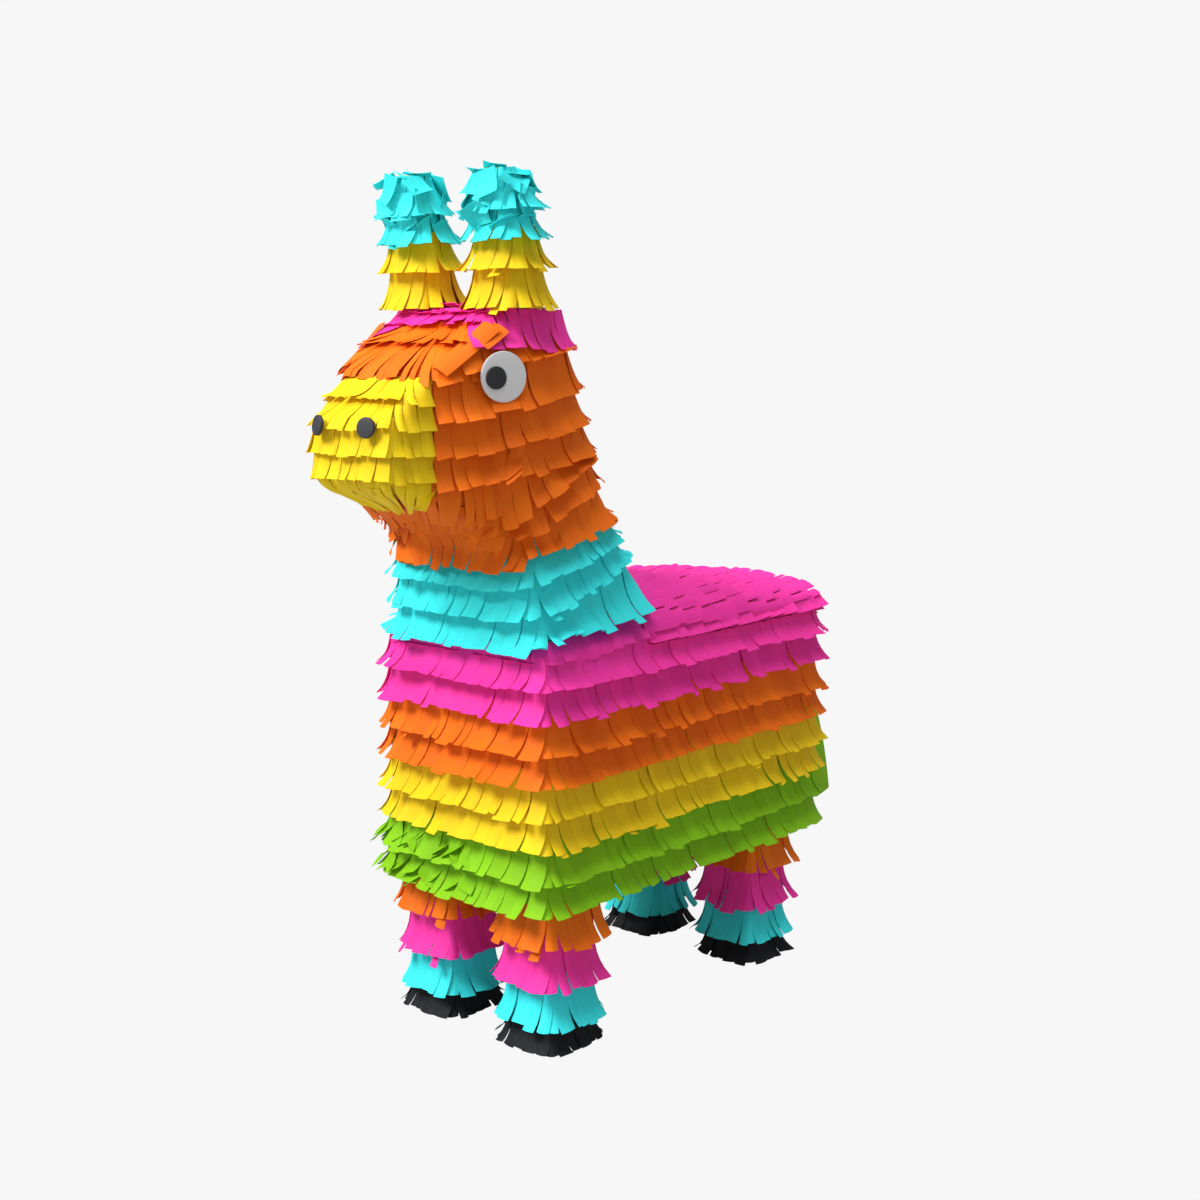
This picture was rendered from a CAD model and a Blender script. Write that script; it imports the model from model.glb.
"""The finished look of the paper donkey pinata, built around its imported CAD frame.

Metres, +Z up, the donkey faces -Y and its left side is +X. Every band of crepe is built as rows of separate
cut paper pieces. A row hangs on a wall: a grid of points found on the card below it, from the row's hidden
root down to its cut edge. Each piece follows its wall at first and curls away from it towards its end.
"""

import math
from dataclasses import dataclass, replace
from functools import lru_cache

import bpy
import numpy as np
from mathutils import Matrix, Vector
from mathutils.bvhtree import BVHTree


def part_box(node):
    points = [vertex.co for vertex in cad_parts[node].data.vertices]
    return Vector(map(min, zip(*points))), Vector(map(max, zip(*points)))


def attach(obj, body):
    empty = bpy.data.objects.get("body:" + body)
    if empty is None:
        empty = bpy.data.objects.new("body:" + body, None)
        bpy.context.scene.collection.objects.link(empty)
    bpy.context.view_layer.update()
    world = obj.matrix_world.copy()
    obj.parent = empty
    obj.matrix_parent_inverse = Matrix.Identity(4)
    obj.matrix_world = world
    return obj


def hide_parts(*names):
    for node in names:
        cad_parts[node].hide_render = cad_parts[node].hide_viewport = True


SEED = 1611

# Names and colours. The body's bands go from the lowest one up, and a leg's from the highest one down.
SIDES = ("left", "right")
LEGS = ("front_left_leg", "front_right_leg", "rear_left_leg", "rear_right_leg")
BODY_COLOURS = ("green", "yellow", "orange", "pink")
LEG_COLOURS = ("orange", "pink", "cyan", "black")

# Pieces of paper: thickness, points down and across, and the length that gives a curl its usual power
SHEET = 0.00025
ROWS = 9
COLUMNS = 4
NOMINAL_LENGTH = 0.030
SHARP_ANGLE = math.radians(50)

# The plain strip behind each row
LINING_ROWS = 5
LINING_STEP = 0.006
LINING_LIFT = 0.0005

# Unevenness of every piece. The bow is a mean and a spread.
CURL_SPREAD = 0.05
POWER_SPREAD = 0.04
SKEW = 0.07
SLANT = 0.03
BOW = (0.0007, 0.0004)
LOOSENESS = 0.0009

# Unevenness along a row, and of its odd pieces, the ones laid askew and the scraps
WAVE = 0.10
ODD_TURN = (-2.6, 1.6)
ODD_END = (1.02, 1.09)
ODD_CURL = 1.12
ASKEW_TURN = (10, 38)
ASKEW_COUNT = 2
SCRAP_TURN = (-16, 16)
SCRAP_HALF_WIDTH = (0.0022, 0.0036)

# Walls: their levels, the rays that find the card, and what counts as a corner of the card
LEVELS = 6
REACH = 0.30
GAP_BRIDGE = 0.0008
CORNER_REACH = 0.005
CORNER_TURN = math.radians(42)
CORNER_SPACING = 0.012
DOWN = np.array((0.0, 0.0, -1.0))
REARWARD = np.array((0.0, 1.0, 0.0))

# Centres of the rings of rows: x and y
BODY_CENTRE = (0, -0.015)
SHOULDER_CENTRE = (0, -0.105)
NECK_CENTRE = (0, -0.115)
THROAT_CENTRE = (0, -0.125)
CHEEK_CENTRE = (0, -0.155)
FOREHEAD_CENTRE = (0, -0.150)
CROWN_CENTRE = (0, -0.140)
MUZZLE_CENTRE = (0, -0.195)

# Arcs of the rows that don't go all the way round, in degrees from +X, with the front at 270
JAW_REAR_ARC = (-52, 232)
JAW_ARC = (198, 342)
CHEEK_ARC = (-58, 238)
FOREHEAD_ARC = (213, 327)
CROWN_SIDE_ARC = (-50, 230)
CROWN_FRONT_ARC = (216, 324)
MUZZLE_ARC = (208, 332)

# Head. A drape moves a hem's height and its rise along y. Falls are degrees below the level.
NAPE_DRAPE = np.array((-0.0323, -0.204))
THROAT_DRAPE = np.array((0.0027, 0.059))
JAW_BASE = (0.0, -0.150, 0.385)
JAW_FALLS = ((14, 40), (32, 50), (43, 59))
JAW_REAR_OVERLAP = 0.9
CHEEK_SHARES = (0.0, 0.40, 0.71, 1.0)
SLOPE_SHARES = (1.0, 0.90, 0.72, 0.46, 0.0)
CROWN_TOP_ROOTS = (-0.120, -0.132, -0.144)
CROWN_TOP_LENGTH = 0.018
CROWN_TOP_HALF_WIDTH = 0.0430

# Brow strips. Each one has a start and an end, as a share down the slope and metres inward, and a breadth.
BROW_Y = (-0.172, -0.212)
BROW_LIFT = 0.0072
BROW_BOW = 0.0014
BROW_FACING = (0.45, -0.47, 0.77)
BROW_COLUMNS = 7
BROW_PIECES = (((0.00, -0.0035), (0.38, -0.0025), 0.0135), ((0.05, 0.0080), (0.96, 0.0110), 0.0125))

# Eyes and nostrils: their paper, its rounded rim, and how far past their edge they hold the fringe flat
DISC_PAPER = 0.0012
NOSTRIL_PAPER = 0.0019
DISC_RIM = DISC_PAPER * 0.45
DISC_SEGMENTS = 56
DISC_HOLD = 0.006
DISC_HOLD_FADE = 0.005

# Ears and legs
EAR_BANDS = (("yellow", 0.0062, 0.42), ("cyan", 0.0, 0.5))
EAR_TOP_GAP = 0.0080
HOOF_DROP = 0.0010
GROUND_CLEARANCE = 0.0004

# Ear caps: (degrees above the level, count) of each tier of bits, and the rounded block that they lie on
CAP_TIERS = ((-38, 7), (0, 7), (34, 6), (66, 4), (88, 2))
CAP_COLUMNS = 5
CAP_HALF_SIZE = (0.0062, 0.0088)
CAP_BLOCK = (0.0162, 0.0146, 0.0150)
CAP_SQUARENESS = 3.4
CAP_TILT = 0.16
CAP_FOLD = 0.0016
CAP_CURL = 0.0035
CAP_LAYER = 0.0004

# Back: rows reach past the flanks by the edge, and the last hem stops shy of the rear
BACK_CENTRE_Z = 0.19
BACK_PITCH = 0.0175
BACK_LENGTH = 0.027
BACK_EDGE = np.array((0.0070, 0.0, -0.0018))
BACK_SHY = 0.0100

# Gaps that let the flap open: (at its hinge, at its free edge) on the flap and beside it, and at its ends
FLAP_GAPS = (0.0034, 0.0010)
COVER_GAPS = (0.0050, 0.0012)
FLAP_END_GAP = 0.0012
SHORTEST_SHARE = 0.25

# How far from the hinge pieces lie flatter, and how much
HINGE_REACH = 0.015
HINGE_FLAT = 0.25

# Tail: how close the rump's rows lie beside it, and its own curve
TAIL_CLEARANCE = 0.0012
TAIL_PRESS = 0.95
TAIL_SWEEP = 0.020
TAIL_BEND = math.radians(72)
TAIL_REACH = 0.1197
TAIL_DROP = 0.2140
TAIL_ROOT_HALF = 0.0085
TAIL_TIP_HALF = 0.0100
TAIL_LAYERS = ((-0.0014, 0.0), (0.0, 0.8), (0.0013, 1.6))

# Hanging loop
CORD_RADIUS = 0.0014
STRANDS = 3
STRAND_PITCH = 0.0055
STRAND_SEGMENTS = 8
STRAND_OFFSET = CORD_RADIUS * 0.52
STRAND_RADIUS = CORD_RADIUS * 0.56

# Camera and light
CAMERA_PLACE = (0.7397, -0.8624, 0.441)
CAMERA_PITCH = math.radians(90 - 8.93)
CAMERA_TURN = math.radians(41.6)
CAMERA_LENS = 50
CAMERA_SENSOR = 36
BACKGROUND = 0.93
AMBIENT = 0.43
LIGHT_TARGET = Vector((0.0, 0.0, 0.27))
LIGHT_DISTANCE = 3.5
FLOOR_HALF_SIZE = 6.0

# Soft lights: azimuth from the front towards +X and elevation, in degrees, then power and size
LIGHTS = {"key": (-24, 42, 116.0, 1.3), "top": (30, 75, 66.0, 2.2)}

# Linear colours
CREPE = {
    "cyan": (0.046, 0.81, 0.83),
    "pink": (0.90, 0.042, 0.38),
    "orange": (0.87, 0.165, 0.007),
    "yellow": (0.85, 0.60, 0.010),
    "green": (0.235, 0.545, 0.010),
    "black": (0.014, 0.015, 0.018),
}
CARD_COLOUR = (0.43, 0.27, 0.14)

# Finishes that aren't crepe: colour, scale and stretch of the grain, contrast, roughness and relief
FINISHES = {
    "card": (CARD_COLOUR, 260, (1, 1, 3), 0.10, 0.80, 0.25),
    "wood": ((0.62, 0.42, 0.22), 90, (1, 0.12, 1), 0.14, 0.55, 0.30),
    "cord": ((0.76, 0.68, 0.50), 1400, (1, 1, 1), 0.16, 0.80, 0.60),
    "eye_white": ((0.70, 0.70, 0.71), 500, (1, 1, 1), 0.02, 0.60, 0.10),
    "black_paper": ((0.016, 0.017, 0.022), 700, (1, 1, 1), 0.08, 0.55, 0.20),
    "grey_paper": ((0.026, 0.027, 0.034), 700, (1, 1, 1), 0.08, 0.60, 0.20),
    "floor": ((0.42, 0.42, 0.42), 6.0, (1, 1, 1), 0.03, 0.9, 0.0),
}


@dataclass(frozen=True)
class Cut:
    """How the pieces of a row are cut and how they hang."""

    width: float = 0.0100
    spread: float = 0.45
    overlap: float = 0.5
    lift: float = 0.0010
    curl: float = 0.0095
    power: float = 2.7
    turn: float = 0.9
    uneven: float = 0.018
    odd: float = 0.16
    scraps: float = 0.015
    overhang: float = 0.0
    corner: float = 0.8
    corner_before: float = 0.5
    corner_after: float = 0.5
    corner_last: float = 1.0
    lining: float = 0.88
    widen: float = 0.0


BODY_CUT = Cut(width=0.0094, curl=0.0114, power=3.5, overhang=0.0040, corner=0.9)
ARCH_CUT = Cut(width=0.0094, curl=0.0060)
NECK_CUT = Cut(width=0.0082, curl=0.0105, overhang=0.0040, lining=0.80, widen=0.04, overlap=0.3,
               corner_before=0.3, corner_after=1.0)
SHOULDER_CUT = Cut(width=0.0110, curl=0.0030, scraps=0.0)
THROAT_CUT = Cut(width=0.0088, lift=0.0024, curl=0.0085, power=3.2, overhang=0.0030, corner=1.0,
                 corner_before=0.2, corner_after=1.3, corner_last=1.10)
JAW_CUT = Cut(width=0.0078, curl=0.0055, turn=2.5, odd=0.3)
CHEEK_CUT = Cut(width=0.0115, curl=0.0095, power=3.2)
FOREHEAD_CUT = Cut(width=0.0064, curl=0.0036, power=2.6, turn=3.0, uneven=0.04, overlap=0.4, odd=0.3)
CROWN_CUT = Cut(width=0.0070, curl=0.0040, power=2.6, turn=3.0, uneven=0.04, odd=0.3)
CROWN_SIDE_CUT = Cut(width=0.0078, turn=2.0, lift=0.0022, curl=0.0070, overlap=0.0)
MUZZLE_CUT = Cut(width=0.0064, curl=0.0048, turn=1.8, scraps=0.03, overhang=0.0035)
EAR_CUT = Cut(width=0.0064, curl=0.0092, power=2.8, turn=1.5, overhang=0.0015, corner=1.0, lining=0.80,
              widen=0.12)
LEG_CUT = Cut(width=0.0080, overlap=0.35, curl=0.0085, power=3.0, turn=0.8, overhang=0.0025, corner=1.0,
              lining=0.84, widen=0.14)
LEG_CUTS = {
    "orange": replace(LEG_CUT, lift=0.0048, curl=0.0090, scraps=0.16),
    "pink": replace(LEG_CUT, lift=0.0018, curl=0.0096, scraps=0.04),
    "cyan": replace(LEG_CUT, curl=0.0092),
    "black": replace(LEG_CUT, curl=0.0080, uneven=0.05),
}
BACK_CUT = Cut(width=0.0105, lift=0.0011, curl=0.0034, power=1.8, turn=1.4, uneven=0.04, scraps=0.0)
PLATE_CUT = Cut(width=0.0080, curl=0.0030, power=2.0, scraps=0.0)


# Walls

class Wall:
    """Points on the card for one row: grid[level, sample], from the hidden root to the cut edge."""

    def __init__(self, grid, closed):
        self.grid = grid
        self.closed = closed
        self.middle = grid[len(grid) // 2]
        self.along = lengths_along(self.middle)
        self.span = self.along[-1]
        self.axis = unit((grid[0] - grid[-1]).mean(axis=0))

    def at(self, place, share):
        """Points at a distance along the row, for shares of the way down it."""
        if self.closed:
            place %= self.span
        index = np.interp(place, self.along, np.arange(len(self.along)))
        sample = min(int(index), len(self.along) - 2)
        part = index - sample
        column = self.grid[:, sample] * (1 - part) + self.grid[:, sample + 1] * part
        depth = share * (len(column) - 1)
        lower = np.clip(depth.astype(int), 0, len(column) - 2)
        part = (depth - lower)[:, None]
        return column[lower] * (1 - part) + column[lower + 1] * part

    def middle_at(self, places):
        if self.closed:
            places = places % self.span
        return np.stack([np.interp(places, self.along, self.middle[:, i]) for i in range(3)], axis=1)

    def point(self, place):
        return self.middle_at(np.array([place]))[0]

    def corners(self):
        """Distances along the row where the card turns sharply."""
        places = self.along[:-1]
        if not self.closed:
            places = places[(places > CORNER_REACH) & (places < self.span - CORNER_REACH)]
        here = self.middle_at(places)
        before = unit(here - self.middle_at(places - CORNER_REACH))
        after = unit(self.middle_at(places + CORNER_REACH) - here)
        turns = np.arccos(np.clip((before * after).sum(axis=1), -1, 1))
        turns = turns * np.sign((np.cross(before, after) * self.axis).sum(axis=1))
        chosen = []
        for index in np.argsort(-turns):
            if turns[index] < CORNER_TURN:
                break
            apart = [abs(places[index] - other) for other in chosen]
            if self.closed:
                apart = [min(gap, self.span - gap) for gap in apart]
            if all(gap > CORNER_SPACING for gap in apart):
                chosen.append(places[index])
        return sorted(chosen)

    def stretches(self, splits=()):
        """The lengths of row between corners, as pairs of distances."""
        marks = sorted([*self.corners(), *splits])
        if not self.closed:
            marks = [0.0, *marks, self.span]
        elif marks:
            marks = [*marks, marks[0] + self.span]
        else:
            marks = [0.0, self.span]
        return list(zip(marks, marks[1:]))


def unit(vectors):
    length = np.linalg.norm(vectors, axis=-1, keepdims=True)
    return vectors / np.maximum(length, 1e-12)


def lengths_along(path):
    """How far along a path each of its points is."""
    steps = np.linalg.norm(np.diff(path, axis=0), axis=1)
    return np.concatenate(([0.0], np.cumsum(steps)))


def vectors(x, y, z):
    """Vectors from their coordinates, each one a number or an array."""
    return np.stack(np.broadcast_arrays(x, y, z), axis=-1)


def seeded(name):
    """Random numbers that are the same each time for a name."""
    return np.random.default_rng([SEED, *name.encode()])


def node_points(node):
    """The vertices of a CAD node."""
    return np.array([v.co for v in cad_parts[node].data.vertices])


def card_tree(*nodes):
    """The card of some CAD nodes, for finding points on its outside."""
    points, faces = [], []
    for node in nodes:
        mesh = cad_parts[node].data
        first = len(points)
        points += [v.co.copy() for v in mesh.vertices]
        faces += [[first + i for i in p.vertices] for p in mesh.polygons]
    return BVHTree.FromPolygons(points, faces)


def distance_out(tree, base, way, nudge):
    """How far the card's outside is from a base along a way, bridging narrow gaps."""
    found = math.nan
    for step in (-GAP_BRIDGE, 0.0, GAP_BRIDGE):
        origin = Vector(base + way * REACH + nudge * step)
        hit, _, _, distance = tree.ray_cast(origin, Vector(-way), REACH)
        if hit is not None:
            found = np.fmax(found, REACH - distance)
    return found


def fill_misses(distances):
    """Rays that miss the card take distances from the levels, then the samples, on each side of them."""
    for table in (distances, distances.T):
        for line in table.T:
            known = np.flatnonzero(~np.isnan(line))
            if 0 < len(known) < len(line):
                places = np.arange(len(line))
                line[:] = np.interp(places, known, line[known])


def cast_grid(tree, bases, ways, nudge):
    """The card's outermost point along each way. Bases and ways broadcast to [level, sample] vectors."""
    bases, ways = np.broadcast_arrays(bases, unit(ways))
    distances = np.empty(ways.shape[:2])
    for place in np.ndindex(distances.shape):
        distances[place] = distance_out(tree, bases[place], ways[place], nudge)
    fill_misses(distances)
    return bases + ways * distances[..., None]


def ring_wall(tree, centre, root, hem, arc=None, samples=240):
    """A wall around an upright part. Root and hem are planes: a height at y = 0, and its rise along y."""
    angles = np.radians(np.linspace(*(arc or (0, 360)), samples + 1))
    share = np.linspace(0, 1, LEVELS)
    height = root[0] + (hem[0] - root[0]) * share
    slope = root[1] + (hem[1] - root[1]) * share
    bases = vectors(*centre, height + slope * centre[1])[:, None]
    ways = vectors(np.cos(angles), np.sin(angles), slope[:, None] * np.sin(angles))
    return Wall(cast_grid(tree, bases, ways, DOWN), closed=arc is None)


def arch_wall(tree, root_y, hem_y, low_z, samples=160):
    """A wall across the back, from the left flank's top edge over the crown to the right one."""
    half_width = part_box("back_panel")[1].x
    first = math.atan2(low_z - BACK_CENTRE_Z, half_width)
    angles = np.linspace(first, math.pi - first, samples + 1)
    bases = vectors(0.0, np.linspace(root_y, hem_y, LEVELS), BACK_CENTRE_Z)[:, None]
    grid = cast_grid(tree, bases, vectors(np.cos(angles), 0.0, np.sin(angles)), REARWARD)
    left_edge, right_edge = grid[:, :1] + BACK_EDGE, grid[:, -1:] + BACK_EDGE * (-1, 1, 1)
    return Wall(np.concatenate((left_edge, grid, right_edge), axis=1), closed=False)


def plate_wall(tree, half_width, root_y, hem_y, top_z, samples=60):
    """A wall on a level top, whose row runs from -X to +X and whose pieces point to -Y."""
    xs = np.linspace(-half_width, half_width, samples + 1)
    bases = vectors(xs, np.linspace(root_y, hem_y, LEVELS)[:, None], top_z - REACH / 2)
    return Wall(cast_grid(tree, bases, -DOWN, REARWARD), closed=False)


def rump_wall(tree, hem_z, samples=80):
    """A wall on the rump's face, from the arched rear edge of the back down to a level."""
    low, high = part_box("back_panel")
    xs = np.linspace(high.x - 0.001, low.x + 0.001, samples + 1)
    tops = [tree.ray_cast(Vector((x, high.y - 0.003, 1.0)), Vector(DOWN))[0].z for x in xs]
    bases = vectors(xs, high.y - REACH / 2, np.linspace(np.array(tops) - 0.0006, hem_z, LEVELS))
    return Wall(cast_grid(tree, bases, REARWARD, DOWN), closed=False)


def fan_wall(tree, base, first, last, arc, samples=200):
    """A wall that sweeps under the jaw. Its root and its hem lie at two angles below the level."""
    angles = np.radians(np.linspace(*arc, samples + 1))
    falls = np.radians(np.linspace(first, last, LEVELS))[:, None]
    ways = vectors(np.cos(angles) * np.cos(falls), np.sin(angles) * np.cos(falls), -np.sin(falls))
    return Wall(cast_grid(tree, np.array(base), ways, DOWN), closed=False)


# Paper

@lru_cache(maxsize=None)
def sheet_faces(rows, columns):
    """The quads of a thin closed sheet: a front grid, then a back grid, then the rims."""
    index = np.arange(rows * columns).reshape(rows, columns)
    back = rows * columns
    front = np.stack((index[:-1, :-1], index[1:, :-1], index[1:, 1:], index[:-1, 1:]), axis=-1).reshape(-1, 4)
    edge = np.concatenate((index[:, 0], index[-1, 1:], index[-2::-1, -1], index[0, -2::-1]))
    start, end = edge[:-1], edge[1:]
    rims = np.stack((end, start, start + back, end + back), axis=-1)
    return np.concatenate((front, front[:, ::-1] + back, rims))


def sheet_normals(points):
    """Unit vectors out of the front of a grid of points."""
    down = np.gradient(points, axis=0)
    across = np.gradient(points, axis=1)
    return unit(np.cross(down, across))


class Paper:
    """Collects thin closed sheets of one colour into one mesh object."""

    def __init__(self, name):
        self.name = name
        self.points, self.faces, self.grain, self.tone = [], [], [], []
        self.count = 0

    def add(self, front, places, lengths, shade):
        """A sheet whose front is a grid of points. Places and lengths are metres across and down it."""
        back = front - sheet_normals(front) * SHEET
        rows, columns = front.shape[:2]
        self.points += [front.reshape(-1, 3), back.reshape(-1, 3)]
        self.faces.append(sheet_faces(rows, columns) + self.count)
        self.count += 2 * rows * columns
        grain = vectors(places[None, :], lengths[:, None], shade).reshape(-1, 3)
        share = np.broadcast_to(np.linspace(0, 1, rows)[:, None], (rows, columns))
        tone = np.stack(np.broadcast_arrays(shade, share, share, 1.0), axis=-1).reshape(-1, 4)
        self.grain += [grain, grain]
        self.tone += [tone, tone]

    def build(self, colour, *stands_for, body="donkey"):
        """The mesh object, riding on a body, in place of the CAD nodes that it stands for."""
        mesh = new_mesh(self.name, np.concatenate(self.points).tolist(), np.concatenate(self.faces).tolist())
        grain = mesh.attributes.new("grain", "FLOAT_VECTOR", "POINT")
        grain.data.foreach_set("vector", np.concatenate(self.grain).astype(np.float32).ravel())
        tone = mesh.attributes.new("tone", "FLOAT_COLOR", "POINT")
        tone.data.foreach_set("color", np.concatenate(self.tone).astype(np.float32).ravel())
        mesh.set_sharp_from_angle(angle=SHARP_ANGLE)
        place_object(self.name, mesh, body, "crepe_" + colour, crepe[colour], *stands_for)


def new_mesh(name, points, faces):
    """A mesh whose faces are shaded smoothly."""
    mesh = bpy.data.meshes.new(name)
    mesh.from_pydata(points, [], faces)
    mesh.polygons.foreach_set("use_smooth", np.ones(len(mesh.polygons), bool))
    return mesh


def link_object(name, data):
    obj = bpy.data.objects.new(name, data)
    bpy.context.scene.collection.objects.link(obj)
    return obj


def place_object(name, mesh, body, slot, material, *stands_for):
    """An object riding on a body, in place of the CAD nodes that it stands for."""
    obj = link_object(name, mesh)
    mesh.materials.append(material)
    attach(obj, body)
    if stands_for:
        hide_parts(*stands_for)


def piece_points(wall, left, right, cut, rng, flat=1.0, loose=0.0, turn=0.0, first=0.0, last=1.0, extra=0.0):
    """The front of one hanging piece of paper, as a grid of points.

    The piece hangs from one share of the way down its wall to another. Extra widens its right edge, past a
    corner.
    """
    share = np.linspace(0, 1, ROWS)
    down_share = first + (last - first) * share * (1 + cut.uneven * rng.normal())
    start, end = wall.at(left, down_share), wall.at(right, down_share)
    middle = wall.at((left + right) / 2, down_share)
    across = unit(end - start)
    down = unit(np.gradient(middle, axis=0))
    out = unit(np.cross(down, across))
    width = np.linalg.norm(end - start, axis=1)
    sag = ((middle - (start + end) / 2) * out).sum(axis=1)
    length = np.linalg.norm(middle[-1] - middle[0])

    curl = cut.curl * flat * (1 + CURL_SPREAD * rng.normal())
    power = cut.power * max(1.0, length / NOMINAL_LENGTH) * (1 + POWER_SPREAD * rng.normal())
    turn = math.radians(turn + cut.turn * flat * rng.normal())
    skew = SKEW * flat * rng.normal()
    bow = BOW[0] + BOW[1] * rng.normal()
    slant = SLANT * rng.normal()

    side = np.linspace(-1, 1, COLUMNS)
    lift = cut.lift + loose + LOOSENESS * rng.random() + curl * share ** power
    outward = lift[:, None] * (1 + skew * share[:, None] * side)
    outward = outward + bow * (0.3 + 0.7 * share[:, None]) * (1 - side ** 2)
    outward = outward - (sag * (1 - 0.5 * share))[:, None] * side ** 2
    half = (width / 2 * (1.02 + cut.widen * share))[:, None]
    sideways = half * side + extra * share[:, None] ** 0.5 * (side + 1) / 2
    sideways = sideways + (math.tan(turn) * length * share ** 1.3)[:, None]
    upward = (slant - math.tan(turn)) * half * share[:, None] ** 2 * side
    return (middle[:, None] + across[:, None] * sideways[..., None] + out[:, None] * outward[..., None]
            - down[:, None] * upward[..., None])


def cut_row(start, end, cut, rng):
    """The distances along a row at which its pieces begin and end."""
    count = max(1, round((end - start) / cut.width))
    widths = rng.uniform(1 - cut.spread, 1 + cut.spread, count)
    marks = np.concatenate(([0.0], np.cumsum(widths))) / widths.sum()
    return start + (end - start) * marks


def add_piece(paper, wall, left, right, cut, rng, press=None, **hang):
    """One piece between two places along a row. Press, if given, moves its points clear of other things."""
    points = piece_points(wall, left, right, cut, rng, **hang)
    if press:
        points = press(points)
    offset = rng.random()
    places = offset + np.linspace(left, right, COLUMNS)
    lengths = np.linspace(0, NOMINAL_LENGTH, ROWS) + rng.random()
    paper.add(points, places, lengths, rng.random())


def add_lining(paper, wall, start, end, cut, press=None):
    """A plain strip of the same crepe behind a row, from which its pieces are cut."""
    columns = max(2, round((end - start) / LINING_STEP))
    places = np.linspace(start, end, columns)
    share = np.linspace(0, cut.lining, LINING_ROWS)
    points = np.stack([wall.at(place, share) for place in places], axis=1)
    points = points + sheet_normals(points) * LINING_LIFT
    if press:
        points = press(points)
    paper.add(points, places, share * NOMINAL_LENGTH, 0.5)


def add_row(paper, wall, cut, rng, press=None, mess=None):
    """One row of cut pieces on a wall, with a few scraps over it. At corners a piece below closes the gap."""
    stretches = wall.stretches()
    for start, end in stretches:
        add_lining(paper, wall, start, end, cut, press)
        marks = cut_row(start, end, cut, rng)
        wave = np.interp(marks, np.linspace(start, end, 5), 1 + WAVE * rng.normal(size=5))
        for left, right, swell in zip(marks, marks[1:], wave):
            at_corner = left == marks[0] or right == marks[-1]
            extra = cut.overhang if right == marks[-1] else 0.0
            odd = rng.random() < cut.odd
            turn = rng.uniform(*ODD_TURN) if odd else 0.0
            last = rng.uniform(*ODD_END) if odd else 1.0
            flat = swell * (cut.corner if at_corner else 1.0) * (ODD_CURL if odd else 1.0)
            add_piece(paper, wall, left, right, cut, rng, press, flat=flat, turn=turn, last=last, extra=extra)
            messy = mess(wall.point(left)) if mess else 0.0
            if rng.random() < messy:
                for _ in range(ASKEW_COUNT):
                    add_askew(paper, wall, left, right, cut, rng, press)
            elif rng.random() < cut.scraps:
                add_scrap(paper, wall, left, right, cut, rng, press)
        if wall.closed or start > 0:
            left, right = start - cut.width * cut.corner_before, start + cut.width * cut.corner_after
            add_piece(paper, wall, left, right, cut, rng, press, flat=0.8 * cut.corner,
                      last=cut.corner_last)


def make_rows(name, colour, walls, cut, seed):
    """Rows of pieces on some walls, in one mesh object."""
    rng = np.random.default_rng(seed)
    paper = Paper(name)
    for wall in walls:
        add_row(paper, wall, cut, rng)
    paper.build(colour)


def add_askew(paper, wall, left, right, cut, rng, press=None):
    """A whole piece laid askew over the others."""
    turn = rng.choice((-1, 1)) * rng.uniform(*ASKEW_TURN)
    loose = rng.uniform(0.0008, 0.0022)
    last = rng.uniform(0.8, 1.0)
    add_piece(paper, wall, left, right, cut, rng, press, flat=0.8, loose=loose, turn=turn, first=0.2,
              last=last)


def add_scrap(paper, wall, left, right, cut, rng, press=None):
    """A small bit of paper that sticks out between two rows."""
    middle = (left + right) / 2
    half = rng.uniform(*SCRAP_HALF_WIDTH)
    turn = rng.uniform(*SCRAP_TURN)
    last = rng.uniform(1.05, 1.2)
    add_piece(paper, wall, middle - half, middle + half, cut, rng, press, flat=0.9, loose=0.0012, turn=turn,
              first=0.45, last=last)


def band_edges(node, tiers, shares=None):
    """The edges of a CAD band's rows, from the top one down, as planes: a height at y = 0 and a rise along y.

    A band may tilt up towards the rear, so its highest point is on its rear top edge and its lowest point on
    its front hem.
    """
    low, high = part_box(node)
    points = node_points(node)
    front = points[points[:, 1] < low.y + 0.009]
    rear = points[points[:, 1] > high.y - 0.009]
    top = plane_through(front[front[:, 2].argmax()], points[points[:, 2].argmax()])
    hem = plane_through(points[points[:, 2].argmin()], rear[rear[:, 2].argmin()])
    shares = shares or np.linspace(0, 1, tiers + 1)
    return [top + (hem - top) * share for share in shares]


def plane_through(front, rear):
    """The plane, level along x, through a front point and a rear point."""
    run = rear[1] - front[1]
    slope = (rear[2] - front[2]) / run if run > 0.05 else 0.0
    return np.array((front[2] - slope * front[1], slope))


def level(height):
    """A level plane, or a change of height."""
    return np.array((height, 0.0))


def ring_band(node, colour, tree, centre, edges, cut, top_limit=None, arc=None, samples=240, press=None,
              mess=None):
    """A CAD band as rows of pieces around a part, from its lowest row up. Edges run from the top one down."""
    rng = seeded(node)
    for number, (top, hem) in enumerate(reversed(list(zip(edges, edges[1:]))), start=1):
        root = top + (top - hem) * cut.overlap
        if top_limit is not None and root[0] > top_limit[0]:
            root = top_limit
        wall = ring_wall(tree, centre, root, hem, arc, samples)
        paper = Paper(f"{node}_row_{number}")
        add_row(paper, wall, cut, rng, press, mess)
        stands_for = (node,) if number == 1 else ()
        paper.build(colour, *stands_for)


# Materials

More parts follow.
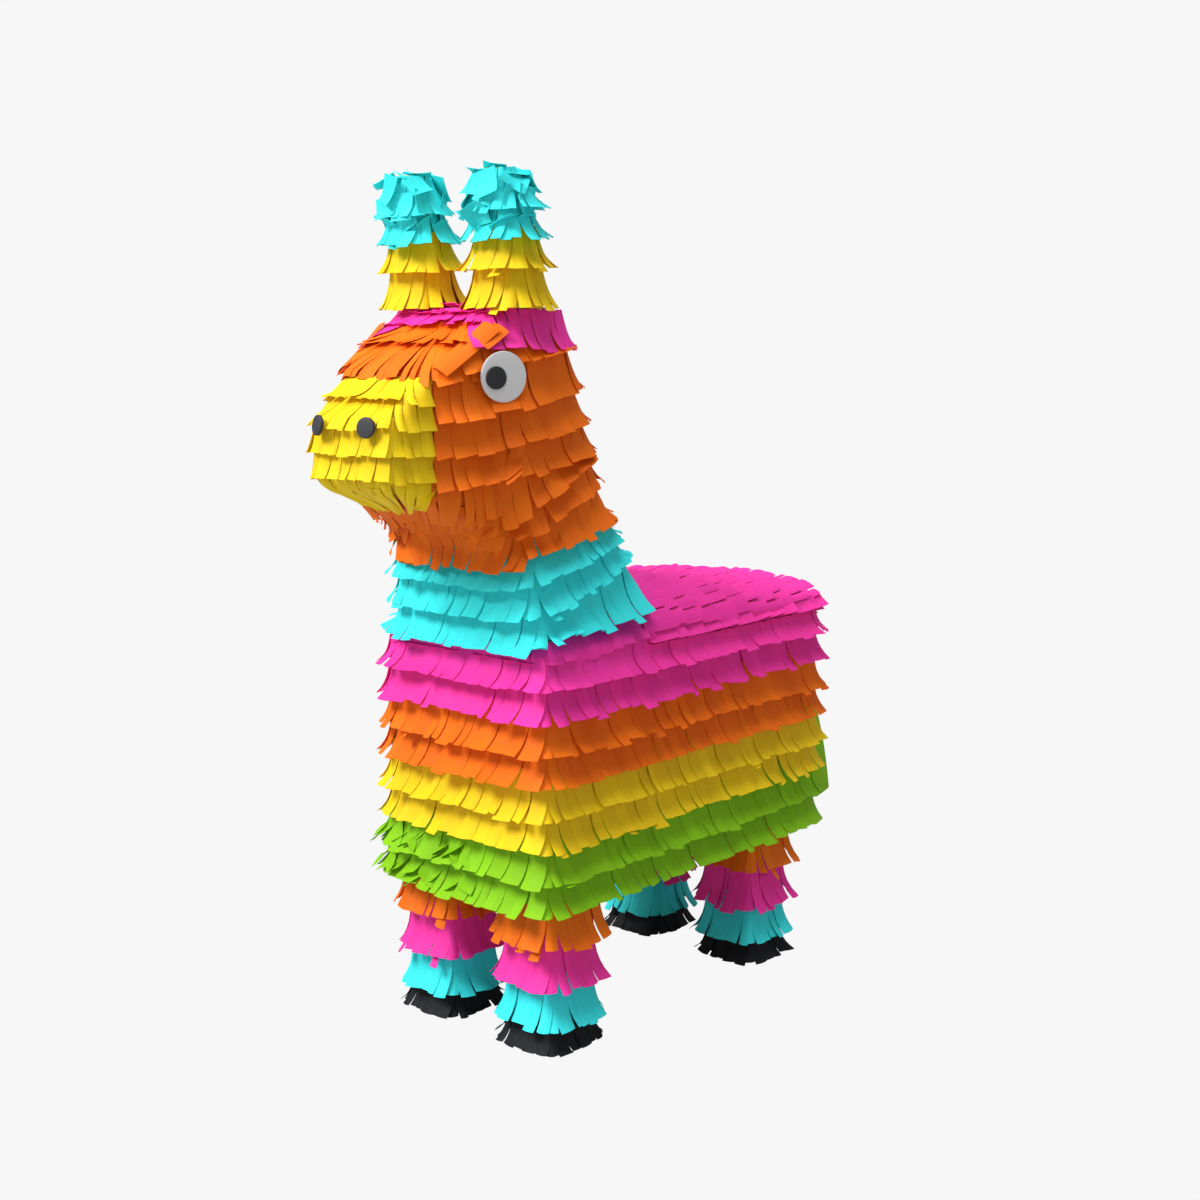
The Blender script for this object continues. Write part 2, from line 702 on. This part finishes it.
class Graph:
    """The shader nodes of a material or a world. Most methods add a node and return its output."""

    def __init__(self, owner):
        owner.use_nodes = True
        self.nodes, self.links = owner.node_tree.nodes, owner.node_tree.links

    def feed(self, node, inputs):
        """Sets a node's inputs to values, or links them to outputs."""
        for name, value in inputs.items():
            if isinstance(value, bpy.types.NodeSocket):
                self.links.new(value, node.inputs[name])
            else:
                node.inputs[name].default_value = value

    def add(self, kind, inputs, output, **settings):
        node = self.nodes.new("ShaderNode" + kind)
        for name, value in settings.items():
            setattr(node, name, value)
        self.feed(node, inputs)
        return node.outputs[output]

    def mapped(self, vector, scale):
        return self.add("Mapping", {"Vector": vector, "Scale": scale}, "Vector")

    def noise(self, vector, scale, detail=2.0):
        return self.add("TexNoise", {"Vector": vector, "Scale": scale, "Detail": detail}, "Fac")

    def ranged(self, value, low, high, from_low=0.0, from_high=1.0):
        ends = {"From Min": from_low, "From Max": from_high, "To Min": low, "To Max": high}
        return self.add("MapRange", {"Value": value, **ends}, "Result")

    def multiplied(self, *values):
        result = values[0]
        for value in values[1:]:
            result = self.add("Math", {0: result, 1: value}, "Value", operation="MULTIPLY")
        return result

    def tinted(self, colour, value, hue=0.5):
        """A colour whose brightness and hue follow values."""
        return self.add("HueSaturation", {"Color": (*colour, 1.0), "Value": value, "Hue": hue}, "Color")

    def bumped(self, height, strength, distance):
        return self.add("Bump", {"Height": height, "Strength": strength, "Distance": distance}, "Normal")


def new_material(name):
    material = bpy.data.materials.new(name)
    graph = Graph(material)
    return material, graph, graph.nodes["Principled BSDF"]


def crepe_material(name, colour):
    """Cut crepe paper: fine ridges down each piece, each piece a little lighter or darker than the next."""
    material, graph, shader = new_material(name)
    grain = graph.add("Attribute", {}, "Vector", attribute_name="grain")
    tone = graph.add("Attribute", {}, "Color", attribute_name="tone")
    piece = graph.add("SeparateColor", {"Color": tone}, "Red")
    down = graph.add("SeparateColor", {"Color": tone}, "Green")
    ridges = graph.noise(graph.mapped(grain, (1500, 25, 40)), 1.0)
    blotches = graph.noise(graph.mapped(grain, (90, 60, 40)), 1.0)
    value = graph.multiplied(
        graph.ranged(ridges, 0.95, 1.05, 0.3, 0.7),
        graph.ranged(blotches, 0.97, 1.03, 0.3, 0.7),
        graph.ranged(piece, 0.94, 1.05),
        graph.ranged(down, 0.97, 1.04),
    )
    graph.feed(shader, {
        "Base Color": graph.tinted(colour, value, graph.ranged(piece, 0.498, 0.502)),
        "Normal": graph.bumped(ridges, 0.35, 0.0004),
        "Roughness": graph.ranged(ridges, 0.52, 0.68),
        "Specular IOR Level": 0.12,
    })
    return material


def surface_material(name, colour, scale, stretch, contrast, roughness, relief):
    """A material with grain in its brightness, its roughness and its relief."""
    material, graph, shader = new_material(name)
    grain = graph.noise(graph.mapped(graph.add("TexCoord", {}, "Object"), stretch), scale, 4.0)
    graph.feed(shader, {
        "Base Color": graph.tinted(colour, graph.ranged(grain, 1 - contrast, 1 + contrast, 0.3, 0.7)),
        "Roughness": graph.ranged(grain, roughness - 0.08, roughness + 0.08),
        "Normal": graph.bumped(grain, relief, 0.0003),
    })
    return material


def pasted_material(name, low_colour, high_colour, facing):
    """Card with paper pasted on: one colour on the faces that look up more than a share, one on the rest."""
    material, graph, shader = new_material(name)
    grain = graph.noise(graph.add("TexCoord", {}, "Object"), 240.0, 4.0)
    value = graph.ranged(grain, 0.9, 1.1, 0.3, 0.7)
    normal = graph.add("NewGeometry", {}, "True Normal")
    upward = graph.add("SeparateXYZ", {"Vector": normal}, "Z")
    colours = {"Color1": graph.tinted(low_colour, value), "Color2": graph.tinted(high_colour, value)}
    graph.feed(shader, {
        "Base Color": graph.add("MixRGB", {
            "Fac": graph.ranged(upward, 0.0, 1.0, facing - 0.01, facing), **colours}, "Color"),
        "Roughness": graph.ranged(grain, 0.74, 0.90),
        "Normal": graph.bumped(grain, 0.4, 0.0003),
    })
    return material


def make_pasted_materials():
    """The paper pasted on each card part under its fringe, by CAD node."""
    ear = pasted_material("pasted_ear", CREPE["yellow"], CREPE["cyan"], 0.9)
    head = pasted_material("pasted_head", CREPE["orange"], CREPE["pink"], 0.97)
    cover = pasted_material("pasted_cover", CARD_COLOUR, CREPE["pink"], 0.3)
    muzzle = pasted_material("pasted_muzzle", CREPE["yellow"], CREPE["yellow"], 0.5)
    return {"head_shell": head, "muzzle_shell": muzzle, "back_panel": cover, "hatch_flap": cover,
            "left_ear_shell": ear, "right_ear_shell": ear}


# Fringe

def make_discs():
    """(centre, outward axis, radius) of the plane that paper stays behind at each eye and nostril."""
    found = []
    for name in ("left_eye", "right_eye", "left_nostril", "right_nostril"):
        centre, axis, radius, thickness = disc_shape(name)
        found.append((centre + axis * (thickness / 2 - DISC_PAPER), axis, radius))
    return found


def disc_shape(node):
    """Centre, outward axis, radius and thickness of a flat round CAD node."""
    points = node_points(node)
    centre = points.mean(axis=0)
    axis = np.linalg.svd(points - centre)[2][2]
    outside = np.array((math.copysign(1.0, centre[0]), -1.0, 0.0))
    axis = axis * math.copysign(1.0, axis @ outside)
    along = (points - centre) @ axis
    radial = np.linalg.norm(points - centre - along[:, None] * axis, axis=1)
    return centre, axis, radial.max(), along.max() - along.min()


def pressed_flat(points):
    """Keeps paper behind the eyes and nostrils that are glued over it."""
    for centre, axis, radius in discs:
        height = (points - centre) @ axis
        away = np.linalg.norm(points - centre - height[..., None] * axis, axis=-1)
        hold = np.clip((radius + DISC_HOLD - away) / DISC_HOLD_FADE, 0, 1)
        over = np.where(height < 0.03, np.maximum(height + 0.0004, 0), 0)
        points = points - (hold * over)[..., None] * axis
    return points


def make_body_fringe():
    tree = card_tree("left_flank_panel", "right_flank_panel", "chest_panel", "rump_panel")
    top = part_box("body_fringe_pink")[1].z
    for colour in BODY_COLOURS:
        node = "body_fringe_" + colour
        mess = hem_mess if colour == "green" else None
        press = clear_of_tail if colour == "pink" else None
        ring_band(node, colour, tree, BODY_CENTRE, band_edges(node, 2), BODY_CUT, level(top), samples=720,
                  press=press, mess=mess)


def clear_of_tail(points):
    """Keeps paper close to the rump on each side of the tail, so that the tail can swing."""
    beyond = np.maximum(points[..., 1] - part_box("rump_panel")[1].y - TAIL_CLEARANCE, 0)
    near = np.clip((TAIL_SWEEP - abs(points[..., 0])) / 0.005, 0, 1)
    points = points.copy()
    points[..., 1] -= near * beyond * TAIL_PRESS
    return points


def make_rump_arch():
    """Pink pieces over the rear edge of the back, down to the body's top row."""
    tree = card_tree("rump_panel", "back_panel")
    wall = rump_wall(tree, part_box("body_fringe_pink")[1].z - 0.009)
    make_rows("rump_arch_pink", "pink", [wall], ARCH_CUT, SEED + 8)


def hem_mess(point):
    """The green hem is rumpled over the front right leg."""
    return 0.85 if point[1] < -0.10 and point[0] < 0.005 and point[2] < 0.135 else 0.0


def make_shoulder_fringe(tree, neck_hem):
    """Pink pieces on the shoulder, between the lowest cyan row and the body's top row."""
    hem = np.array((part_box("body_fringe_pink")[1].z, 0.03))
    wall = ring_wall(tree, SHOULDER_CENTRE, neck_hem + level(0.004), hem)
    make_rows("shoulder_fringe_pink", "pink", [wall], SHOULDER_CUT, SEED + 1)


def jaw_mess(point):
    """Pieces are rumpled at the corner of the jaw."""
    return 0.45 if point[2] < 0.375 and -0.175 < point[1] < -0.14 else 0.0


def make_jaw_fringe(tree, rear_edges):
    """Orange rows behind the jaw, and rows that curl in under it to the throat."""
    rng = np.random.default_rng(SEED + 7)
    paper = Paper("jaw_fringe_orange")
    for top, hem in reversed(list(zip(rear_edges, rear_edges[1:]))):
        wall = ring_wall(tree, THROAT_CENTRE, top + (top - hem) * JAW_REAR_OVERLAP, hem, JAW_REAR_ARC)
        add_row(paper, wall, CHEEK_CUT, rng)
    for first, last in reversed(JAW_FALLS):
        wall = fan_wall(tree, JAW_BASE, first, last, JAW_ARC)
        add_row(paper, wall, JAW_CUT, rng, mess=jaw_mess)
    paper.build("orange")


def make_head_fringe():
    """Cyan and orange rows up the neck and cheeks, orange rows down the forehead, and the pink crown."""
    tree = card_tree("neck_shell", "head_shell")
    neck_edges = band_edges("neck_fringe_cyan", 3)
    neck_edges[-1] = neck_edges[-1] + NAPE_DRAPE
    make_shoulder_fringe(tree, neck_edges[-1])
    ring_band("neck_fringe_cyan", "cyan", tree, NECK_CENTRE, neck_edges, NECK_CUT)
    cheek_edges = band_edges("cheek_fringe_orange", 3, CHEEK_SHARES)
    throat_edges = band_edges("throat_fringe_orange", 2)
    throat_edges[-1] = throat_edges[-1] + THROAT_DRAPE
    ring_band("throat_fringe_orange", "orange", tree, THROAT_CENTRE, throat_edges[1:], THROAT_CUT)
    make_jaw_fringe(tree, [cheek_edges[-1], *throat_edges[:2]])
    crown_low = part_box("crown_fringe_pink")[0].z
    ring_band("cheek_fringe_orange", "orange", tree, CHEEK_CENTRE, [level(crown_low + 0.004), *cheek_edges],
              CHEEK_CUT, level(crown_low + 0.007), CHEEK_ARC, press=pressed_flat, mess=jaw_mess)
    slope_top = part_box("head_shell")[1].z
    slope_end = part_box("muzzle_shell")[1].z - 0.0010
    slope_edges = [level(slope_end + (slope_top - slope_end) * share) for share in SLOPE_SHARES]
    ring_band("forehead_fringe_orange", "orange", tree, FOREHEAD_CENTRE, slope_edges[2:], FOREHEAD_CUT,
              arc=FOREHEAD_ARC, press=pressed_flat)
    make_brow_pieces(slope_edges[2][0], slope_end)
    make_crown(tree, slope_top, crown_low, slope_edges)


def make_crown(tree, top_z, low_z, slope_edges):
    """Pink rows down the sides and the rear of the head's top, down its front, and across the flat top."""
    top = level(top_z + 0.0005)
    ring_band("crown_fringe_pink", "pink", tree, CROWN_CENTRE, [top, level(low_z - 0.003)], CROWN_SIDE_CUT,
              arc=CROWN_SIDE_ARC)
    walls = [ring_wall(tree, CROWN_CENTRE, top, slope_edges[n], CROWN_FRONT_ARC) for n in (2, 1)]
    make_rows("crown_front_pink", "pink", walls, CROWN_CUT, SEED + 6)
    walls = [plate_wall(tree, CROWN_TOP_HALF_WIDTH, y, y - CROWN_TOP_LENGTH, top_z) for y in CROWN_TOP_ROOTS]
    make_rows("crown_top_pink", "pink", walls, PLATE_CUT, SEED + 2)


def make_brow_pieces(top_z, end_z):
    """Wide pieces laid askew down the edge between the forehead and each cheek."""
    tree = card_tree("head_shell")
    half_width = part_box("head_shell")[1].x
    for side, sign in (("left", 1), ("right", -1)):
        rng = seeded(side)
        paper = Paper(side + "_brow_orange")
        for start, end, breadth in BROW_PIECES:
            ends = []
            for share, inward in (start, end):
                y = BROW_Y[0] + (BROW_Y[1] - BROW_Y[0]) * share
                z = top_z + (end_z - top_z) * share
                ends.append(np.array((sign * (half_width - inward), y, z)))
            points = laid_points(tree, ends[0], ends[1], breadth / 2, rng, sign)
            places = np.linspace(0, breadth, BROW_COLUMNS) + rng.random()
            paper.add(points, places, np.linspace(0, 0.05, ROWS) + rng.random(), rng.random())
        paper.build("orange")


def laid_points(tree, start, end, half_width, rng, sign):
    """The front of a wide flat piece over the head's edge. Its ends lie over the card nearest two points."""
    first, last = (np.array(tree.find_nearest(Vector(point))[0]) for point in (start, end))
    along = unit(last - first)
    facing = np.array((sign, 1, 1)) * BROW_FACING
    normal = unit(facing - along * (facing @ along))
    aside = np.cross(normal, along)
    share = np.linspace(0, 1, ROWS)[:, None]
    side = np.linspace(-1, 1, BROW_COLUMNS)[None, :]
    lift = BROW_LIFT + 0.0006 * rng.random() - BROW_BOW * side ** 2 + 0.0015 * share ** 3
    points = first + (last - first) * share[..., None] + aside * (side * half_width)[..., None]
    return points + normal * lift[..., None]


def make_muzzle_fringe():
    """Yellow rows down the front and sides of the muzzle, the last one curling in under the chin."""
    tree = card_tree("muzzle_shell", "head_shell")
    low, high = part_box("muzzle_shell")
    edges = [level(z) for z in np.linspace(high.z, low.z - 0.004, 6)]
    ring_band("muzzle_fringe_yellow", "yellow", tree, MUZZLE_CENTRE, edges, MUZZLE_CUT, level(high.z + 0.001),
              MUZZLE_ARC, press=pressed_flat)


def middle_of(node):
    """The middle of a CAD node, as x and y."""
    low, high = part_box(node)
    return (low.x + high.x) / 2, (low.y + high.y) / 2


def make_ear_fringe():
    for side in SIDES:
        shell = side + "_ear_shell"
        tree = card_tree(shell)
        shell_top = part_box(shell)[1].z
        for colour, drop, split in EAR_BANDS:
            node = f"{side}_ear_fringe_{colour}"
            low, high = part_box(node)
            top = min(high.z, shell_top - EAR_TOP_GAP)
            edges = [level(top + (low.z - drop - top) * share) for share in (0, split, 1)]
            ring_band(node, colour, tree, middle_of(shell), edges, EAR_CUT, level(shell_top - 0.0005))
        make_ear_cap(side, shell_top)


def make_ear_cap(side, top_z):
    """A rumpled clump of square bits of paper around the ear's end."""
    points = node_points(side + "_ear_shell")
    tip = points[points[:, 2] > top_z - 0.002].mean(axis=0)
    centre = np.array((tip[0], tip[1], top_z - CAP_BLOCK[2] - 0.0022))
    rng = seeded(side)
    paper = Paper(side + "_ear_cap_cyan")
    for tier, (rise, count) in enumerate(CAP_TIERS):
        turn = rng.uniform(0, 360)
        for number in range(count):
            heading = math.radians(turn + (number + rng.uniform(-0.3, 0.3)) * 360 / count)
            points = cap_points(centre, heading, math.radians(rise + rng.uniform(-8, 8)), tier, rng)
            places = np.linspace(0, 0.015, CAP_COLUMNS) + rng.random()
            paper.add(points, places, places.copy(), rng.random())
    paper.build("cyan")


def cap_points(centre, heading, rise, tier, rng):
    """The front of one square bit of paper lying askew on the block around an ear's end."""
    out = np.array((math.cos(heading) * math.cos(rise), math.sin(heading) * math.cos(rise), math.sin(rise)))
    share = np.abs(out) / CAP_BLOCK
    reach = (share ** CAP_SQUARENESS).sum() ** (-1 / CAP_SQUARENESS)
    normal = unit(np.sign(out) * share ** (CAP_SQUARENESS - 1) + 0.25 * out)
    normal = unit(normal + CAP_TILT * rng.normal(size=3))
    aside = unit(np.cross(-DOWN, normal) + 0.35 * rng.normal(size=3))
    aside = unit(aside - normal * (aside @ normal))
    down = np.cross(aside, normal)
    half_width, half_length = rng.uniform(*CAP_HALF_SIZE, size=2)
    side = np.linspace(-1, 1, CAP_COLUMNS)
    across, along = np.meshgrid(side, side)
    fold = CAP_FOLD * rng.normal() * np.abs(across + rng.uniform(-0.6, 0.6) * along)
    curl = CAP_CURL * rng.uniform(0.2, 1.0) * math.cos(rise) * np.clip(along, 0, 1) ** 2
    lift = CAP_LAYER * tier + fold + curl
    points = centre + out * reach + aside * (across * half_width)[..., None]
    return points + down * (along * half_length)[..., None] + normal * lift[..., None]


def make_leg_fringe():
    for leg in LEGS:
        tree = card_tree(leg + "_tube")
        for colour in LEG_COLOURS:
            node = f"{leg}_fringe_{colour}"
            top, hem = band_edges(node, 1)
            if colour == "black":
                hem = hem - level(HOOF_DROP)
            ring_band(node, colour, tree, middle_of(leg + "_tube"), [top, hem], LEG_CUTS[colour],
                      press=above_ground)


def above_ground(points):
    """Keeps the lowest pieces off the ground."""
    points = points.copy()
    points[..., 2] = np.maximum(points[..., 2], GROUND_CLEARANCE)
    return points


def make_back_fringe():
    """Pink rows across the back, cut towards the rump. Those over the flap are on the flap."""
    tree = card_tree("back_panel", "hatch_flap", "left_flank_panel", "right_flank_panel")
    low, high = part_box("back_fringe_pink")
    flap_low, flap_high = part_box("hatch_flap")
    low_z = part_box("back_panel")[0].z + 0.0005
    rng = np.random.default_rng(SEED + 4)
    cover = Paper("back_fringe_pink_rows")
    flap = Paper("hatch_fringe_pink_rows")
    roots = np.arange(low.y, high.y - BACK_LENGTH, BACK_PITCH)
    for root_y in [low.y - 0.012, *roots, high.y - BACK_LENGTH - BACK_SHY]:
        hem_y = root_y + BACK_LENGTH
        on_flap = flap_low.y - 0.001 <= root_y <= flap_high.y - BACK_PITCH
        beside_flap = root_y < flap_high.y and hem_y > flap_low.y
        wall = arch_wall(tree, root_y, hem_y, low_z)
        splits = [wall.along[np.argmin(abs(wall.middle[:, 0] - x))] for x in (flap_low.x, flap_high.x)]
        for start, end in wall.stretches(splits):
            over_flap = abs(wall.point((start + end) / 2)[0]) < flap_high.x
            paper = flap if over_flap and on_flap else cover
            if beside_flap:
                start, end = clear_of_edges(start, end, splits, over_flap)
            first, last = 0.0, 1.0
            if over_flap and beside_flap:
                first, last = clear_of_ends(root_y, on_flap, flap_low.y, flap_high.y)
            add_back_stretch(paper, wall, start, end, rng, first, last)
    cover.build("pink", "back_fringe_pink")
    flap.build("pink", "hatch_fringe_pink", body="hatch")


def clear_of_edges(start, end, splits, over_flap):
    """A stretch of a row, shortened where it meets the flap's side edges, so that the flap opens freely."""
    for split, gap in zip(splits, FLAP_GAPS if over_flap else COVER_GAPS):
        start += gap if start == split else 0.0
        end -= gap if end == split else 0.0
    return start, end


def clear_of_ends(root_y, on_flap, flap_front, flap_rear):
    """The shares down a row in line with the flap between which its pieces are all on or all off the flap."""
    front, rear = (flap_front - root_y) / BACK_LENGTH, (flap_rear - root_y) / BACK_LENGTH
    if on_flap:
        return 0.0, min(rear, 1.0)
    if front > 0:
        return 0.0, front
    return rear + FLAP_END_GAP / BACK_LENGTH, 1.0


def add_back_stretch(paper, wall, start, end, rng, first, last):
    """The pieces of one row on the back, from one place along it to another, unless they are too short."""
    if last < SHORTEST_SHARE:
        return
    if first == 0.0 and last == 1.0:
        add_lining(paper, wall, start, end, BACK_CUT)
    hinge_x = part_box("hatch_flap")[0].x
    marks = cut_row(start, end, BACK_CUT, rng)
    for left, right in zip(marks, marks[1:]):
        from_hinge = abs(wall.point((left + right) / 2)[0] - hinge_x)
        flat = HINGE_FLAT if from_hinge < HINGE_REACH else 1.0
        add_piece(paper, wall, left, right, BACK_CUT, rng, flat=flat, first=first, last=last)


# Small parts

def tube_faces(rings, segments, first=0):
    """The quads between successive rings of points."""
    starts = [first + ring * segments for ring in range(rings - 1)]
    return [[start + k, start + after, start + segments + after, start + segments + k]
            for start in starts for k in range(segments) for after in [(k + 1) % segments]]


def make_round_disc(node, finish, dome, paper=DISC_PAPER):
    """A paper disc with a softly rounded rim and a slight dome, in place of a flat CAD disc."""
    centre, axis, radius, thickness = disc_shape(node)
    side = unit(np.cross(axis, (0.0, 0.0, 1.0)))
    up = np.cross(side, axis)
    front, back = thickness / 2, thickness / 2 - paper
    profile = [(radius, back)]
    for bend in [math.pi / 2 * k / 4 for k in range(5)]:
        profile.append((radius - DISC_RIM + DISC_RIM * math.cos(bend),
                        front - DISC_RIM + DISC_RIM * math.sin(bend)))
    profile += [(radius * share, front + dome * (1 - share * share)) for share in (0.8, 0.6, 0.4, 0.2)]
    turns = [2 * math.pi * k / DISC_SEGMENTS for k in range(DISC_SEGMENTS)]
    points = [centre + axis * height + reach * (side * math.cos(turn) + up * math.sin(turn))
              for reach, height in profile for turn in turns]
    points += [centre + axis * back, centre + axis * (front + dome)]
    back_hub, front_hub = len(points) - 2, len(points) - 1
    faces = tube_faces(len(profile), DISC_SEGMENTS)
    last = (len(profile) - 1) * DISC_SEGMENTS
    for k in range(DISC_SEGMENTS):
        after = (k + 1) % DISC_SEGMENTS
        faces += [[k, back_hub, after], [last + k, last + after, front_hub]]
    mesh = new_mesh(node + "_paper", [tuple(point) for point in points], faces)
    mesh.set_sharp_from_angle(angle=SHARP_ANGLE)
    place_object(node + "_paper", mesh, "donkey", finish, finishes[finish], node)


def make_face():
    for side in SIDES:
        make_round_disc(side + "_eye", "eye_white", 0.0004)
        make_round_disc(side + "_pupil", "black_paper", 0.0002)
        make_round_disc(side + "_nostril", "grey_paper", 0.0003, NOSTRIL_PAPER)


def make_tail():
    """The tail: a few thicknesses of green crepe, cut square, that bend down from the rump."""
    low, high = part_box("tail_strip")
    paper = Paper("tail_ribbon")
    rng = np.random.default_rng(SEED + 5)
    share = np.linspace(0, 1, 30)
    side = np.linspace(-1, 1, 7)
    for offset, phase in TAIL_LAYERS:
        turn = share * TAIL_BEND * (1 - 0.002 * phase)
        y = low.y + TAIL_REACH * np.sin(turn)
        z = high.z - TAIL_ROOT_HALF - TAIL_DROP * (1 - np.cos(turn))
        along = unit(vectors(0.0, np.gradient(y), np.gradient(z)))
        across = vectors(0.0, -along[:, 2], along[:, 1])
        half = TAIL_ROOT_HALF + (TAIL_TIP_HALF - TAIL_ROOT_HALF) * share
        points = vectors(offset, y, z)[:, None] + across[:, None] * (half[:, None] * side)[..., None]
        points[..., 0] += 0.0005 * np.sin(share * 9 + phase)[:, None] * side + 0.0004 * (1 - side ** 2)
        paper.add(points, side * 0.01 + rng.random(), share * 0.16, rng.random())
    paper.build("green", "tail_strip", body="tail")


def loop_path():
    """The middle line of the hanging loop, from foot to foot."""
    low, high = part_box("hanging_loop")
    radius = (high.x - low.x) / 2 - CORD_RADIUS
    foot_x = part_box("anchor_cord")[1].x - CORD_RADIUS
    centre_z = high.z - CORD_RADIUS - radius
    y = (low.y + high.y) / 2
    angles = np.radians(np.linspace(-40, 220, 60))
    arc = vectors(radius * np.cos(angles), y, centre_z + radius * np.sin(angles))
    rise = np.linspace(0, 1, 14)[:-1, None]
    foot = np.array((foot_x, y, low.z + CORD_RADIUS * 0.2))
    first = foot + (arc[0] - foot) * rise
    last = first[::-1] * np.array((-1.0, 1.0, 1.0))
    return np.concatenate((first, arc, last))


def make_loop():
    """The hanging loop, laid up from twisted strands."""
    path = loop_path()
    along = unit(np.gradient(path, axis=0))
    aside = unit(np.cross(along, REARWARD))
    twist = lengths_along(path) / STRAND_PITCH
    turn = 2 * np.pi * np.arange(STRAND_SEGMENTS)[None, :, None] / STRAND_SEGMENTS
    ring = STRAND_RADIUS * (np.cos(turn) * REARWARD + np.sin(turn) * aside[:, None])
    points, faces = [], []
    for strand in range(STRANDS):
        phase = 2 * np.pi * (twist + strand / STRANDS)[:, None]
        middle = path + STRAND_OFFSET * (np.cos(phase) * REARWARD + np.sin(phase) * aside)
        faces += tube_faces(len(path), STRAND_SEGMENTS, len(points))
        faces.append([len(points) + k for k in reversed(range(STRAND_SEGMENTS))])
        points += (middle[:, None] + ring).reshape(-1, 3).tolist()
        faces.append([len(points) - STRAND_SEGMENTS + k for k in range(STRAND_SEGMENTS)])
    mesh = new_mesh("hanging_loop_cord", points, faces)
    place_object("hanging_loop_cord", mesh, "hanger", "cord", finishes["cord"], "hanging_loop")


def dress_card():
    """Card, wood and cord finishes for the CAD nodes that stay in sight."""
    for name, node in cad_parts.items():
        if node.hide_render:
            continue
        finish = finishes["card"]
        if name in pasted:
            finish = pasted[name]
        elif "dowel" in name:
            finish = finishes["wood"]
        elif "cord" in name:
            finish = finishes["cord"]
        node.data.materials.clear()
        node.data.materials.append(finish)


# Stage

def make_stage():
    """A floor that the camera doesn't see, for the light that comes back up from it."""
    mesh = bpy.data.meshes.new("floor")
    corners = [(x * FLOOR_HALF_SIZE, y * FLOOR_HALF_SIZE, 0) for x, y in ((-1, -1), (1, -1), (1, 1), (-1, 1))]
    mesh.from_pydata(corners, [], [[0, 1, 2, 3]])
    mesh.materials.append(finishes["floor"])
    floor = link_object("floor", mesh)
    floor.visible_camera = False


def make_world():
    """A white surround, brighter to the camera than it is as a light."""
    world = bpy.data.worlds.new("studio")
    bpy.context.scene.world = world
    graph = Graph(world)
    seen = graph.add("LightPath", {}, "Is Camera Ray")
    strength = graph.ranged(seen, AMBIENT, BACKGROUND)
    graph.feed(graph.nodes["Background"], {"Color": (1.0, 1.0, 1.0, 1.0), "Strength": strength})


def make_lights():
    for name, (azimuth, elevation, power, size) in LIGHTS.items():
        azimuth, elevation = math.radians(azimuth), math.radians(elevation)
        way = Vector((math.sin(azimuth) * math.cos(elevation), -math.cos(azimuth) * math.cos(elevation),
                      math.sin(elevation)))
        light = bpy.data.lights.new(name, "AREA")
        light.energy, light.size = power, size
        obj = link_object(name, light)
        obj.location = LIGHT_TARGET + way * LIGHT_DISTANCE
        obj.rotation_euler = (-way).to_track_quat("-Z", "Y").to_euler()


def make_camera():
    camera = bpy.data.cameras.new("camera")
    camera.lens = CAMERA_LENS
    camera.sensor_width = CAMERA_SENSOR
    obj = link_object("camera", camera)
    obj.location = CAMERA_PLACE
    obj.rotation_euler = (CAMERA_PITCH, 0.0, CAMERA_TURN)
    bpy.context.scene.camera = obj


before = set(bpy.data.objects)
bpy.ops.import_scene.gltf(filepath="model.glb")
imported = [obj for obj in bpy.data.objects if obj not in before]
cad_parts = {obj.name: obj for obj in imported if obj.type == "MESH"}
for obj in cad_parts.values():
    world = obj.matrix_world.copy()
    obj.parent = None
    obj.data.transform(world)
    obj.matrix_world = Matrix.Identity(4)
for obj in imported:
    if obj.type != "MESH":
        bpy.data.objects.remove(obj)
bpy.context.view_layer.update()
bpy.context.scene.view_settings.view_transform = "Standard"
crepe = {name: crepe_material("crepe_" + name, colour) for name, colour in CREPE.items()}
finishes = {name: surface_material(name, *finish) for name, finish in FINISHES.items()}
pasted = make_pasted_materials()
discs = make_discs()

make_body_fringe()
make_rump_arch()
make_head_fringe()
make_muzzle_fringe()
make_ear_fringe()
make_leg_fringe()
make_back_fringe()
make_face()
make_tail()
make_loop()
dress_card()
make_stage()
make_world()
make_lights()
make_camera()
